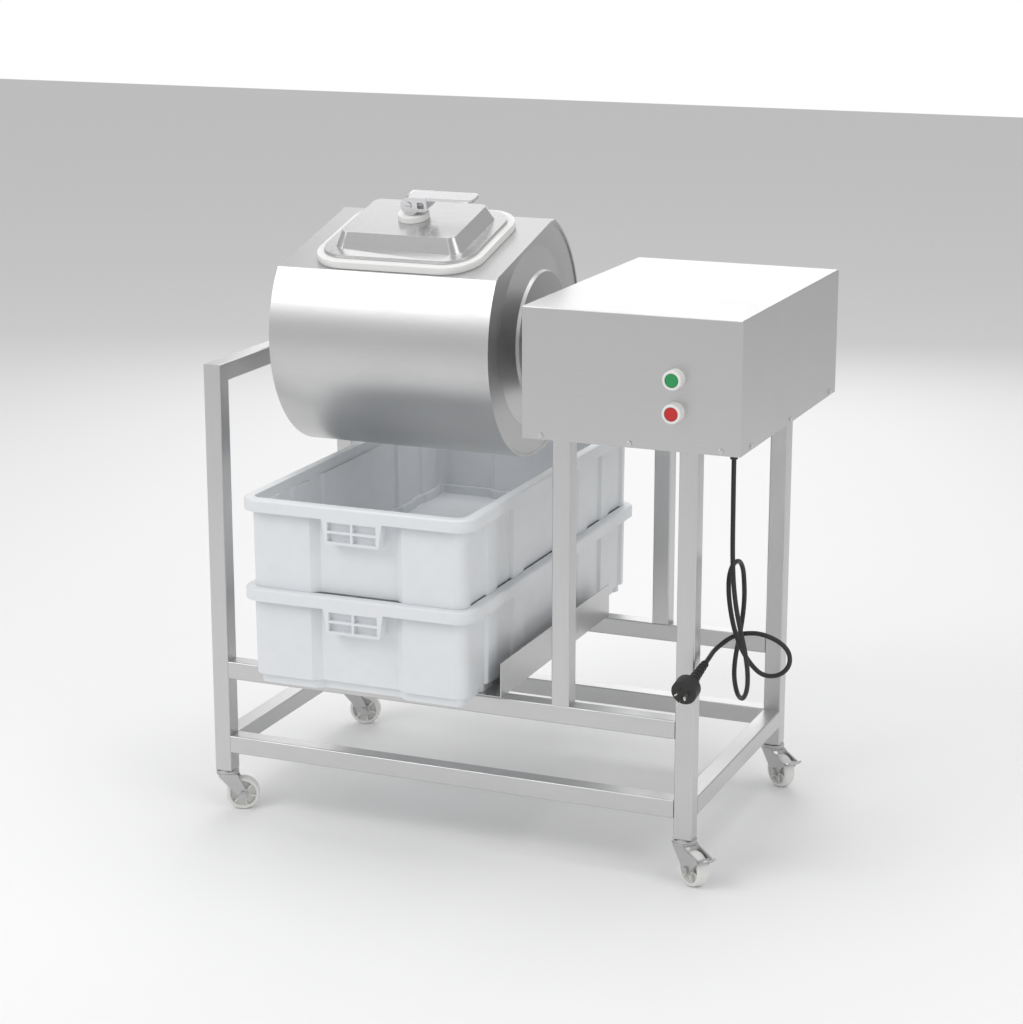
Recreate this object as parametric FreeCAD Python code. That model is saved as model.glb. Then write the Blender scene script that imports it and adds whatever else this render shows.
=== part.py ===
# Meat vacuum tumbler: a stainless drum that turns on a square-tube stand,
# with a drive box, a clamped hatch, two stacked totes and four swivel casters.
# Millimetres, +Z up.  The bench frame used while modelling has x = 0 at the
# left posts' outer face, y = 0 at the posts' front face and z = 0 on the floor.
# Every sub-part is moved to the row frame at the end: the origin is the centre
# of the bottom of the box round everything but the mains cord.
import FreeCAD
import Part
import math
import os

V = FreeCAD.Vector

# ---------------------------------------------------------------- stand
tube = 30.0                 # square tube, outside
tube_wall = 1.5
tube_corner = 2.5           # outside corner radius
frame_length = 840.0
frame_depth = 505.0
stand_height = 72.0         # floor to post bottoms, on the casters
lower_rail_top = 135.0
middle_rail_top = 265.0
left_top = 764.0
inner_leg_x = 605.0

# ---------------------------------------------------------------- drive box
box_left = 555.0
box_length = 351.0
box_depth = 524.0
box_front = -2.0
box_bottom = 691.0
box_height = 205.0
cover_sheet = 1.2
cover_bend = 2.0
notch_radius = 35.0
tray_sheet = 2.0
tray_lip = 22.0
screw_height = 6.0          # screw centres above the cover's bottom edge
screw_head = 9.0
screw_head_height = 2.4
screw_shank = 2.0

# ---------------------------------------------------------------- drum
drum_radius = 198.0
drum_length = 373.0
drum_start = 97.0
drum_sheet = 2.0
flat_height = 152.6         # shaft axis to the outside of the flat
hatch_tilt = 15.0           # degrees, towards the front
end_sheet = 3.0
hem_width = 5.0
knuckle_radius = 146.0
cone_radius = 109.0
cone_rise = 12.0
ring_rise = 5.0
ring_slope = 3.0
paddle_height = 38.0
paddle_foot = 46.0
paddle_crest = 10.0
paddle_sheet = 2.0
paddle_inset = 12.0
paddle_pitch = 80.0         # degrees
paddle_count = 3

# ---------------------------------------------------------------- shaft line
shaft_radius = 12.5
bearing_height = 36.5       # base to shaft centre
bearing_base = 140.0
bearing_width = 38.0
bearing_ring_radius = 26.0
end_block_radius = 29.0     # left bearing block
end_block_ring = 21.0
end_block_width = 25.0
end_block_x = 16.5
journal_gap = 0.05
hub_radius = 55.0
hub_plate = 8.0
spigot_wall = 6.0
shaft_left_end = 2.0
shaft_right_end = 790.0

# ---------------------------------------------------------------- hatch
neck_length = 258.0         # along the drum
neck_width = 212.0
neck_corner = 46.0
neck_sheet = 2.5
neck_rise = 7.0
gasket_length = 288.0
gasket_width = 244.0
gasket_corner = 60.0
gasket_height = 12.0
gasket_band = 24.0
seal_gap = 0.3
lid_length = 266.0
lid_width = 216.0
lid_corner = 48.0
lid_edge = 5.0
lid_step = 2.0
lid_sheet = 2.0
dome_length = 222.0
dome_width = 164.0
dome_corner = 16.0
dome_slope = 11.0
dome_rise = 25.0

# ---------------------------------------------------------------- cam clamp
collar_radius = 26.0
collar_height = 10.5
stud_radius = 7.0
stud_gap = 0.3
stud_turn = 0.25            # clearance of the stud in the collar
eye_width = 13.0
cam_radius = 15.5
cam_offset = 2.5
cam_width = 34.0
cam_nose = 33.0             # pin to the thick end under the handle
window_offset = 22.0
eye_radius = 7.5
cam_gap = 0.3
pin_radius = 4.0
handle_reach = 114.0
handle_sheet = 5.0
handle_width = 32.0
bar_length = 232.0
bar_width = 30.0
bar_height = 12.0
bar_gap = 0.5               # clamp bar to the flat, pulled up
nut_height = 11.0

# ---------------------------------------------------------------- totes
bin_width = 400.0
bin_length = 760.0
bin_height = 161.0
bin_wall = 3.0
bin_corner = 18.0
bin_foot = 15.0
bin_foot_inset = 8.0
bin_rim = 20.0
bin_overhang = 14.0
bin_draft = 1.5
bin_recess = 5.0
bin_rim_round = 4.0
bin_centre = V(308.0, 283.5, 0.0)
end_recess = 10.0
end_slope = 14.0
end_panels = ((-80.0, 80.0),)
side_panels = ((-340.0, -271.0), (-234.0, -167.0), (-123.0, 123.0), (167.0, 234.0),
               (271.0, 340.0))
grip_width = 104.0
grip_drop = 39.0
grip_cells = 2
rest_gap = 0.3
guide_sheet = 2.0
guide_flange = 60.0
guide_height = 57.0
guide_reach = 212.0         # tote centre to the outside of each guide

# ---------------------------------------------------------------- casters
wheel_radius = 28.0
wheel_width = 22.0
caster_trail = 25.0
head_radius = 19.0
head_height = 5.5
swivel_gap = 0.4
crown_height = 5.0
fork_sheet = 2.5
fork_gap = 1.4
axle_radius = 4.0
axle_gap = 0.05
hub_core = 8.0
caster_angles = {"front_left": 28.0, "front_right": -36.0,
                 "rear_left": 15.0, "rear_right": -38.0}
braked_casters = ("front_right", "rear_right")
cheek_radius = 9.0
crown_top = stand_height - head_height - swivel_gap
king_pin = 5.0
king_length = 16.0
pedal_sheet = 2.5
pedal_reach = 18.0
pedal_pin = 2.0
pedal_pin_x = 24.0          # behind the axle
pedal_pin_z = 49.0

# ---------------------------------------------------------------- drive, pump
base_sheet = 4.0
bearer_inset = 20.0
reducer_length = 100.0
reducer_width = 112.0
worm_rise = 45.0
motor_radius = 43.0
motor_length = 150.0
pump_radius = 42.0
pump_length = 120.0
hose_radius = 6.0

# ---------------------------------------------------------------- controls
button_x = 803.0
start_z = 803.0
stop_z = 752.0
bezel_radius = 15.0
bezel_reach = 20.0
cap_radius = 10.5
cap_gap = 0.4
cap_travel = 3.0
plunger_radius = 4.0
button_body = 36.0

# ---------------------------------------------------------------- cord
cord_radius = 3.75
gland_radius = 9.5
gland_drop = 18.0
gland_x = 877.0
gland_y = 60.0
cord_route = (
    (877, 60, 700), (877, 60, 652), (877.8, 59, 597), (879, 56, 554), (881, 52, 516),
    (884.5, 48, 479), (890, 46, 443), (898, 45.5, 408), (906, 47, 374), (910, 50.5, 340),
    (908, 56, 310), (896, 72, 288), (879, 97, 287), (867, 116, 309), (868, 118, 340),
    (874, 118, 374), (879, 118, 409), (881, 118, 439), (880, 118, 464), (878, 117, 488),
    (876, 101.6, 504), (873.5, 78.4, 504), (872, 63, 488), (872.5, 62, 460), (876, 64, 430),
    (882, 67, 400), (891, 72, 372), (904, 81, 345), (921, 91, 325), (945, 98, 325),
    (962, 100, 342), (962, 98, 366), (945, 95, 383), (918, 91, 393), (893, 88, 392),
    (871, 85, 384), (856, 75, 371), (851.5, 56, 366), (852.7, 36.5, 363.2),
    (851.9, 17, 358.9))
plug_face = V(848.0, -75.0, 338.7)
plug_radius = 20.0
plug_body = 22.0
plug_neck = 14.0
relief_root = 8.0
relief_tip = 5.2
relief_rings = 6
plug_roll = 69.0            # degrees, earth pin's line from the horizontal
blade_width = 6.4
blade_sheet = 1.7
blade_length = 17.0

parts = {}


# ================================================================ helpers
def block(x0, x1, y0, y1, z0, z1):
    return Part.makeBox(x1 - x0, y1 - y0, z1 - z0, V(x0, y0, z0))


def rod(radius, length, start, axis):
    return Part.makeCylinder(radius, length, start, axis)


def rounded_wire(length, width, corner, z=0.0):
    """Rounded rectangle centred on the origin, length along x."""
    a = length / 2.0
    b = width / 2.0
    r = min(corner, a - 0.01, b - 0.01)
    s = r * math.sqrt(0.5)
    edges = []
    for sx, sy in ((1, 1), (-1, 1), (-1, -1), (1, -1)):
        cx = sx * (a - r)
        cy = sy * (b - r)
        first = V(cx + r * sx, cy, z)
        last = V(cx, cy + r * sy, z)
        if sx * sy < 0:
            first, last = last, first
        edges.append((first, V(cx + s * sx, cy + s * sy, z), last))
    wire = []
    for i, (first, middle, last) in enumerate(edges):
        wire.append(Part.Arc(first, middle, last).toShape())
        wire.append(Part.LineSegment(last, edges[(i + 1) % 4][0]).toShape())
    return Part.Wire(wire)


def slab(length, width, corner, z0, z1):
    face = Part.Face(rounded_wire(length, width, corner, z0))
    return face.extrude(V(0, 0, z1 - z0))


def taper(lower, upper):
    """Solid between two rounded rectangles (length, width, corner, z)."""
    return Part.makeLoft([rounded_wire(*lower), rounded_wire(*upper)], True, True)


def polygon(points):
    return Part.Face(Part.makePolygon(list(points) + [points[0]]))


def square_tube(length):
    """Hollow square tube from the origin along +Z, centred on the z axis."""
    outer = slab(tube, tube, tube_corner, 0.0, length)
    inside = tube - 2 * tube_wall
    bore = slab(inside, inside, max(tube_corner - tube_wall, 0.4), -1.0, length + 1.0)
    return outer.cut(bore)


def tube_z(x, y, z0, z1):
    shape = square_tube(z1 - z0)
    shape.translate(V(x + tube / 2, y + tube / 2, z0))
    return shape


def tube_x(x0, x1, y, z):
    shape = square_tube(x1 - x0)
    shape.rotate(V(0, 0, 0), V(0, 1, 0), 90)
    shape.translate(V(x0, y + tube / 2, z + tube / 2))
    return shape


def tube_y(x, y0, y1, z):
    shape = square_tube(y1 - y0)
    shape.rotate(V(0, 0, 0), V(1, 0, 0), -90)
    shape.translate(V(x + tube / 2, y0, z + tube / 2))
    return shape


def add(name, shape):
    parts[name] = shape


# ================================================================ stand
rear_y = frame_depth - tube
right_x = frame_length - tube
lower_z = lower_rail_top - tube
middle_z = middle_rail_top - tube


def mitre(y, towards):
    """Wedge above the mitre plane at a top corner of the left end frame."""
    reach = frame_depth
    corner = V(-tube, y, left_top)
    foot = V(-tube, y + towards * reach, left_top - reach)
    high = V(-tube, y, left_top + reach)
    side = V(-tube, y + towards * reach, left_top + reach)
    return polygon([corner, foot, side, high]).extrude(V(3 * tube, 0, 0))


def make_stand():
    front_cut = mitre(0.0, 1)
    rear_cut = mitre(frame_depth, -1)
    front = tube_z(0, 0, stand_height, left_top)
    rear = tube_z(0, rear_y, stand_height, left_top)
    bar = tube_y(0, 0, frame_depth, left_top - tube)
    add("left_front_post", front.cut(front_cut))
    add("left_rear_post", rear.cut(rear_cut))
    add("left_top_bar", bar.common(front_cut).common(rear_cut))
    add("right_front_post", tube_z(right_x, 0, stand_height, box_bottom))
    add("right_rear_post", tube_z(right_x, rear_y, stand_height, box_bottom))
    add("inner_front_leg", tube_z(inner_leg_x, 0, middle_rail_top, box_bottom))
    add("inner_rear_leg", tube_z(inner_leg_x, rear_y, middle_rail_top, box_bottom))
    for place, y in (("front", 0.0), ("rear", rear_y)):
        add(place + "_middle_rail", tube_x(tube, right_x, y, middle_z))
        add(place + "_lower_rail", tube_x(tube, right_x, y, lower_z))
    add("left_lower_rail", tube_y(0, tube, rear_y, lower_z))
    add("right_lower_rail", tube_y(right_x, tube, rear_y, lower_z))


def bin_guide(inward):
    """Angle that stands on the middle rails and guides the totes."""
    y1 = frame_depth - tube / 2
    x_wall = bin_centre.x - inward * guide_reach
    x_edge = x_wall + inward * guide_flange
    x_face = x_wall + inward * guide_sheet
    z0 = middle_rail_top
    foot = block(min(x_wall, x_edge), max(x_wall, x_edge), 0, y1, z0, z0 + guide_sheet)
    wall = block(min(x_wall, x_face), max(x_wall, x_face), 0, y1, z0, z0 + guide_height)
    return foot.fuse(wall).removeSplitter()


# ================================================================ totes
def bin_outline(inset, z):
    """Plan outline of a tote: rounded corners, panels set back between ribs."""
    a = bin_width / 2 - bin_overhang - inset
    b = bin_length / 2 - bin_overhang - inset
    r = bin_corner - inset
    runs = []
    for turn in range(4):
        half, across = (a, b) if turn % 2 == 0 else (b, a)
        at_end = turn % 2 == 0
        panels = end_panels if at_end else side_panels
        depth = end_recess if at_end else bin_recess
        slope = end_slope if at_end else bin_recess
        angle = math.radians(90 * turn)
        c, s = math.cos(angle), math.sin(angle)
        line = [(-half + r, across)]
        for start, end in panels:
            line += [(start, across), (start + slope, across - depth),
                     (end - slope, across - depth), (end, across)]
        line.append((half - r, across))
        runs.append([V(c * u + s * v, s * u - c * v, z) for u, v in line])
    edges = []
    for turn, run in enumerate(runs):
        for p, q in zip(run, run[1:]):
            edges.append(Part.LineSegment(p, q).toShape())
        angle = math.radians(-45 + 90 * turn)
        centre = V(math.copysign(a - r, math.cos(angle)),
                   math.copysign(b - r, math.sin(angle)), z)
        middle = centre + V(math.cos(angle) * r, math.sin(angle) * r, 0)
        edges.append(Part.Arc(run[-1], middle, runs[(turn + 1) % 4][0]).toShape())
    return Part.Wire(edges)


def prism(wires):
    return Part.makeLoft(wires, True, True)


def bin_grip(direction):
    """Grip block under the rim at one short end, with cells sunk in its face."""
    top = bin_height - bin_rim
    low = top - grip_drop
    y0 = bin_length / 2 - bin_overhang - end_recess - bin_draft
    y1 = bin_length / 2
    half = grip_width / 2
    body = polygon([V(-half, y0, top + 2), V(half, y0, top + 2), V(half, y0, top),
                    V(half - 6, y0, low), V(-half + 6, y0, low), V(-half, y0, top)])
    body = body.extrude(V(0, y1 - y0, 0))
    cell_w = (grip_width - 12 - 4 * (grip_cells + 1)) / grip_cells
    cell_h = (grip_drop - 4 * (grip_cells + 1)) / grip_cells
    for i in range(grip_cells):
        for j in range(grip_cells):
            x = -half + 6 + 4 + i * (cell_w + 4)
            z = low + 4 + j * (cell_h + 4)
            body = body.cut(block(x, x + cell_w, y1 - 9, y1 + 1, z, z + cell_h))
    if direction < 0:
        body.rotate(V(0, 0, 0), V(0, 0, 1), 180)
    return body


def make_bin(base):
    """One tote with its foot at the height base."""
    top = bin_height
    foot = bin_draft + bin_foot_inset
    shell = prism([bin_outline(foot, 0.0), bin_outline(foot, bin_foot + 1)])
    shell = shell.fuse(prism([bin_outline(bin_draft, bin_foot), bin_outline(0.0, top)]))
    grips = bin_grip(1).fuse(bin_grip(-1))
    shell = shell.fuse(grips)
    rim = slab(bin_width, bin_length, bin_corner + bin_overhang, top - bin_rim, top)
    upper_edges = [e for e in rim.Edges if e.BoundBox.ZMin > top - 0.01]
    rim = rim.makeFillet(bin_rim_round, upper_edges)
    inner = bin_overhang - bin_wall
    hollow = slab(bin_width - 2 * bin_wall, bin_length - 2 * bin_wall,
                  bin_corner + inner, top - bin_rim - 1, top - bin_wall)
    keep = slab(bin_width - 2 * inner, bin_length - 2 * inner,
                bin_corner + bin_wall, top - bin_rim - 2, top)
    rim = rim.cut(hollow.cut(keep))
    shell = shell.fuse(rim)
    low = foot + bin_wall
    floor = bin_foot + bin_wall
    well = prism([bin_outline(low, bin_wall), bin_outline(low, floor + 1)])
    cavity = prism([bin_outline(bin_draft + bin_wall, floor), bin_outline(bin_wall, top + 1)])
    mouth_inset = 2 * (bin_overhang + bin_wall)
    mouth = slab(bin_width - mouth_inset, bin_length - mouth_inset, bin_corner - bin_wall,
                 top - bin_rim + bin_wall, top + 1)
    shell = shell.cut(well).cut(cavity).cut(mouth).removeSplitter()
    shell.translate(bin_centre + V(0, 0, base))
    return shell


# ================================================================ casters
def fork_side(y, braked):
    """One stamped fork cheek in the caster's own frame, trail along +x."""
    top = crown_top - crown_height
    z = wheel_radius
    r = cheek_radius
    outline = [V(-head_radius + 4, y, top), V(caster_trail - r, y, z - 2),
               V(caster_trail - r * 0.7, y, z - r * 0.7), V(caster_trail, y, z - r),
               V(caster_trail + r * 0.7, y, z - r * 0.7), V(caster_trail + r, y, z)]
    if braked:
        ear = caster_trail + pedal_pin_x
        outline += [V(ear + 3.5, y, pedal_pin_z - 3), V(ear + 3.5, y, pedal_pin_z + 3)]
    outline.append(V(head_radius - 2, y, top))
    return polygon(outline).extrude(V(0, fork_sheet, 0))


def hexagon(radius, height, centre, axis):
    """Hexagonal prism standing on centre, along y or z."""
    points = []
    for k in range(6):
        a = k * math.pi / 3
        u, v = radius * math.cos(a), radius * math.sin(a)
        points.append(centre + (V(u, 0, v) if abs(axis.y) > 0.5 else V(u, v, 0)))
    return polygon(points).extrude(axis * height)


def make_fork(braked):
    """Crown, two cheeks, the axle bolt and the king pin."""
    inner = wheel_width / 2 + fork_gap
    outer = inner + fork_sheet
    low = crown_top - crown_height
    fork = rod(head_radius, crown_height - 2, V(0, 0, low + 2), V(0, 0, 1))
    fork = fork.fuse(block(-head_radius + 4, head_radius - 2, -outer, outer, low, low + 3))
    fork = fork.fuse(fork_side(inner, braked)).fuse(fork_side(-outer, braked))
    axle = V(caster_trail, 0, wheel_radius)
    fork = fork.fuse(rod(axle_radius, 2 * outer + 10, axle - V(0, outer + 4, 0), V(0, 1, 0)))
    fork = fork.fuse(hexagon(6.5, 3.2, axle + V(0, outer, 0), V(0, 1, 0)))
    fork = fork.fuse(hexagon(6.5, 3.2, axle - V(0, outer, 0), V(0, -1, 0)))
    pin = rod(king_pin, king_length, V(0, 0, crown_top - 1), V(0, 0, 1))
    fork = fork.fuse(pin)
    if braked:
        hinge = V(caster_trail + pedal_pin_x, -outer - 1, pedal_pin_z)
        fork = fork.cut(rod(pedal_pin + journal_gap, 2 * outer + 2, hinge, V(0, 1, 0)))
    return fork.removeSplitter()


def make_wheel():
    """Moulded wheel: crowned tread, thin web with ribs, hub on the axle."""
    w = wheel_width / 2
    r = wheel_radius
    bore = axle_radius + axle_gap
    rim = r - 6.0
    web = 2.0
    profile = [V(bore, -w, 0), V(hub_core, -w, 0), V(hub_core, -web, 0), V(rim, -web, 0),
               V(rim, -w + 1, 0), V(r - 2, -w + 1, 0), V(r, -w + 5, 0), V(r, w - 5, 0),
               V(r - 2, w - 1, 0), V(rim, w - 1, 0), V(rim, web, 0), V(hub_core, web, 0),
               V(hub_core, w, 0), V(bore, w, 0)]
    wheel = polygon(profile).revolve(V(0, 0, 0), V(0, 1, 0), 360)
    rib = block(hub_core - 1, rim + 0.5, -w + 3, w - 3, -1.2, 1.2)
    for k in range(6):
        arm = rib.copy()
        arm.rotate(V(0, 0, 0), V(0, 1, 0), 60 * k + 15)
        wheel = wheel.fuse(arm)
    wheel.translate(V(caster_trail, 0, wheel_radius))
    return wheel.removeSplitter()


def make_pedal():
    """Brake pedal: a bent strip on a pin across the fork ears."""
    x = caster_trail + pedal_pin_x
    z = pedal_pin_z
    t = pedal_sheet
    strip = polygon([V(x - 1, 0, z - t / 2), V(x + 9, 0, z - t / 2 - 1),
                     V(x + pedal_reach, 0, z + 5), V(x + pedal_reach - 1, 0, z + 5 + t),
                     V(x + 9, 0, z + t / 2 - 0.5), V(x - 1, 0, z + t / 2)])
    half = wheel_width / 2 + fork_gap - 0.4
    strip = strip.extrude(V(0, 2 * half, 0))
    strip.translate(V(0, -half, 0))
    pin = rod(pedal_pin, 2 * half + 2 * fork_sheet + 1.4,
              V(x, -half - fork_sheet - 0.7, z), V(0, 1, 0))
    return strip.fuse(pin).removeSplitter()


def caster_centres():
    near = tube / 2
    far_x = frame_length - tube / 2
    far_y = frame_depth - tube / 2
    return {"front_left": V(near, near, 0), "front_right": V(far_x, near, 0),
            "rear_left": V(near, far_y, 0), "rear_right": V(far_x, far_y, 0)}


def make_casters():
    mounts = []
    for place, centre in caster_centres().items():
        pad = rod(head_radius, head_height - 2, V(0, 0, stand_height - head_height), V(0, 0, 1))
        boss = Part.makeCone(head_radius - 1, tube / 2 - 1, 2.0, V(0, 0, stand_height - 2), V(0, 0, 1))
        inside = tube - 2 * tube_wall
        plug = slab(inside, inside, 1.0, stand_height, stand_height + 20)
        bore = rod(king_pin + journal_gap, king_length + 2,
                   V(0, 0, stand_height - head_height - 1), V(0, 0, 1))
        mount = pad.fuse(boss).fuse(plug).cut(bore).removeSplitter()
        mount.translate(centre)
        mounts.append(mount)
        angle = caster_angles[place]
        braked = place in braked_casters
        pieces = [("_caster_fork", make_fork(braked)), ("_caster_wheel", make_wheel())]
        if braked:
            pieces.append(("_brake_pedal", make_pedal()))
        for name, shape in pieces:
            shape.rotate(V(0, 0, 0), V(0, 0, 1), angle)
            shape.translate(centre)
            add(place + name, shape)
    add("caster_mounts", Part.makeCompound(mounts))


# ================================================================ drum
axis_y = frame_depth / 2
axis_z = left_top + bearing_height
drum_end = drum_start + drum_length
drum_middle = (drum_start + drum_end) / 2


def on_drum(shape):
    """From the drum's own frame (axis along x, flat up) to the bench."""
    shape = shape.copy()
    shape.rotate(V(0, 0, 0), V(1, 0, 0), hatch_tilt)
    shape.translate(V(0, axis_y, axis_z))
    return shape


def d_profile(radius, flat, x):
    """Round outline with a flat top, in the plane at x."""
    half = math.sqrt(radius ** 2 - flat ** 2)
    right = V(x, half, flat)
    left = V(x, -half, flat)
    bottom = V(x, 0, -radius)
    return Part.Face(Part.Wire([Part.Arc(right, bottom, left).toShape(),
                                Part.LineSegment(left, right).toShape()]))


def hatch_slab(length, width, corner, low, high):
    shape = slab(length, width, corner, low, high)
    shape.translate(V(drum_middle, 0, 0))
    return shape


def make_drum_shell():
    outer = d_profile(drum_radius, flat_height, drum_start).extrude(V(drum_length, 0, 0))
    inner = d_profile(drum_radius - drum_sheet, flat_height - drum_sheet, drum_start - 1)
    shell = outer.cut(inner.extrude(V(drum_length + 2, 0, 0)))
    mouth = hatch_slab(neck_length, neck_width, neck_corner, flat_height - 30, flat_height + 10)
    return shell.cut(mouth)


def drum_end_plate(side):
    """Dished end: hem at the rim, cone and a raised ring round the hub."""
    t = end_sheet
    rise = cone_rise + ring_rise
    rim = drum_radius
    eye = shaft_radius + spigot_wall
    outer = [(0, rim), (hem_width, rim), (hem_width, rim - 4.0), (t, rim - 6.0),
             (t, knuckle_radius), (t + cone_rise, cone_radius),
             (t + rise, cone_radius - ring_slope), (t + rise, eye)]
    inner = [(rise, eye), (rise, cone_radius - t - ring_slope),
             (cone_rise, cone_radius - t), (0, knuckle_radius - 1.0)]
    profile = [V(x, 0, r) for x, r in outer + inner]
    plate = polygon(profile).revolve(V(0, 0, 0), V(1, 0, 0), 360)
    limit = d_profile(rim + 1, flat_height, -1).extrude(V(60, 0, 0))
    plate = plate.common(limit)
    if side < 0:
        plate = plate.mirror(V(0, 0, 0), V(1, 0, 0))
        plate.translate(V(drum_start, 0, 0))
    else:
        plate.translate(V(drum_end, 0, 0))
    return plate


def make_shaft(side):
    """Stub shaft: hub plate on the dished end, shoulder, journal."""
    dish = end_sheet + cone_rise + ring_rise
    hub_start = (drum_end + dish) if side > 0 else (drum_start - dish)
    outer_end = shaft_right_end if side > 0 else shaft_left_end
    axis = V(side, 0, 0)
    hub = rod(hub_radius, hub_plate, V(hub_start, 0, 0), axis)
    boss = Part.makeCone(28, 19, 18, V(hub_start + side * hub_plate, 0, 0), axis)
    length = abs(outer_end - hub_start)
    spindle = rod(shaft_radius, length, V(hub_start, 0, 0), axis)
    spigot = rod(shaft_radius + spigot_wall, end_sheet, V(hub_start - side * end_sheet, 0, 0), axis)
    shaft = hub.fuse(boss).fuse(spindle).fuse(spigot)
    if side > 0:
        bore = rod(5.0, length + 2 * end_sheet + 2, V(hub_start - end_sheet - 1, 0, 0), axis)
        shaft = shaft.cut(bore)
    return shaft.removeSplitter()


def make_paddles():
    """Three folded lifting paddles welded along the inside of the shell."""
    radius = drum_radius - drum_sheet
    half = paddle_foot / 2
    foot = math.sqrt(radius ** 2 - half ** 2)
    crest = paddle_crest / 2
    tip = radius - paddle_height
    slope = (half - crest) / (foot - tip)
    side = paddle_sheet * math.hypot(1.0, slope)
    x0 = drum_start + paddle_inset
    length = drum_length - 2 * paddle_inset
    start = V(x0, -half, -foot)
    under = V(x0, 0, -radius)
    end = V(x0, half, -foot)
    wire = Part.Wire([Part.Arc(start, under, end).toShape(),
                      Part.LineSegment(end, V(x0, crest, -tip)).toShape(),
                      Part.LineSegment(V(x0, crest, -tip), V(x0, -crest, -tip)).toShape(),
                      Part.LineSegment(V(x0, -crest, -tip), start).toShape()])
    paddle = Part.Face(wire).extrude(V(length, 0, 0))
    low = radius + 5
    high = tip + paddle_sheet
    wide = half - side + slope * (low - foot)
    narrow = crest - side + slope * paddle_sheet
    inside = polygon([V(x0 - 1, -wide, -low), V(x0 - 1, wide, -low),
                      V(x0 - 1, narrow, -high), V(x0 - 1, -narrow, -high)])
    paddle = paddle.cut(inside.extrude(V(length + 2, 0, 0)))
    paddles = []
    for k in range(paddle_count):
        turned = paddle.copy()
        turned.rotate(V(0, 0, 0), V(1, 0, 0), (k - (paddle_count - 1) / 2) * paddle_pitch)
        paddles.append(turned)
    return Part.makeCompound(paddles)


# ================================================================ hatch
lid_base = flat_height + gasket_height + 2 * seal_gap
dome_base = lid_base + lid_edge
dome_top = dome_base + dome_rise


def make_hatch_neck():
    low = flat_height - drum_sheet
    high = flat_height + neck_rise
    ring = hatch_slab(neck_length, neck_width, neck_corner, low, high)
    bore = hatch_slab(neck_length - 2 * neck_sheet, neck_width - 2 * neck_sheet,
                      neck_corner - neck_sheet, low - 1, high + 1)
    return ring.cut(bore)


def make_gasket():
    """Ring pushed over the neck's edge, groove underneath."""
    low = flat_height
    high = low + gasket_height + seal_gap
    ring = hatch_slab(gasket_length, gasket_width, gasket_corner, low, high)
    hole = hatch_slab(gasket_length - 2 * gasket_band, gasket_width - 2 * gasket_band,
                      gasket_corner - gasket_band, low - 1, high + 1)
    groove = hatch_slab(neck_length, neck_width, neck_corner, low - 1, flat_height + neck_rise)
    island = hatch_slab(neck_length - 2 * neck_sheet, neck_width - 2 * neck_sheet,
                        neck_corner - neck_sheet, low - 2, flat_height + neck_rise + 1)
    return ring.cut(hole).cut(groove.cut(island))


def make_lid():
    """Pressed lid: turned double edge, raised centre with sloping sides."""
    lower = hatch_slab(lid_length, lid_width, lid_corner, lid_base, lid_base + lid_step)
    upper = hatch_slab(lid_length - 3, lid_width - 3, lid_corner - 1.5,
                       lid_base + lid_step, dome_base)
    top = (dome_length - 2 * dome_slope, dome_width - 2 * dome_slope, dome_corner - 4, dome_top)
    dome = taper((dome_length, dome_width, dome_corner, dome_base - 1), top)
    cut_top = (top[0] - 2 * lid_sheet, top[1] - 2 * lid_sheet, top[2], dome_top - lid_sheet)
    cavity = taper((dome_length - 2 * lid_sheet, dome_width - 2 * lid_sheet,
                    dome_corner, lid_base - 1), cut_top)
    dome.translate(V(drum_middle, 0, 0))
    cavity.translate(V(drum_middle, 0, 0))
    bore = rod(stud_radius + stud_gap, 80, V(drum_middle, 0, dome_top - 60), V(0, 0, 1))
    lid = lower.fuse(upper).fuse(dome).cut(cavity)
    return lid.cut(bore).removeSplitter()


# ================================================================ cam clamp
collar_base = dome_top + seal_gap
collar_top = collar_base + collar_height
cam_drop = cam_offset * math.sqrt(2.0)
pin_height = collar_top + cam_gap + cam_radius + cam_offset * math.sqrt(0.5)


def make_collar():
    disc = rod(collar_radius, collar_height, V(drum_middle, 0, collar_base), V(0, 0, 1))
    bore = rod(stud_radius + stud_turn, collar_height + 2, V(drum_middle, 0, collar_base - 1),
               V(0, 0, 1))
    disc = disc.makeFillet(1.8, [e for e in disc.Edges if len(e.Vertexes) == 1 and
                                 abs(e.BoundBox.ZMin - collar_top) < 0.01])
    return disc.cut(bore)


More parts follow.
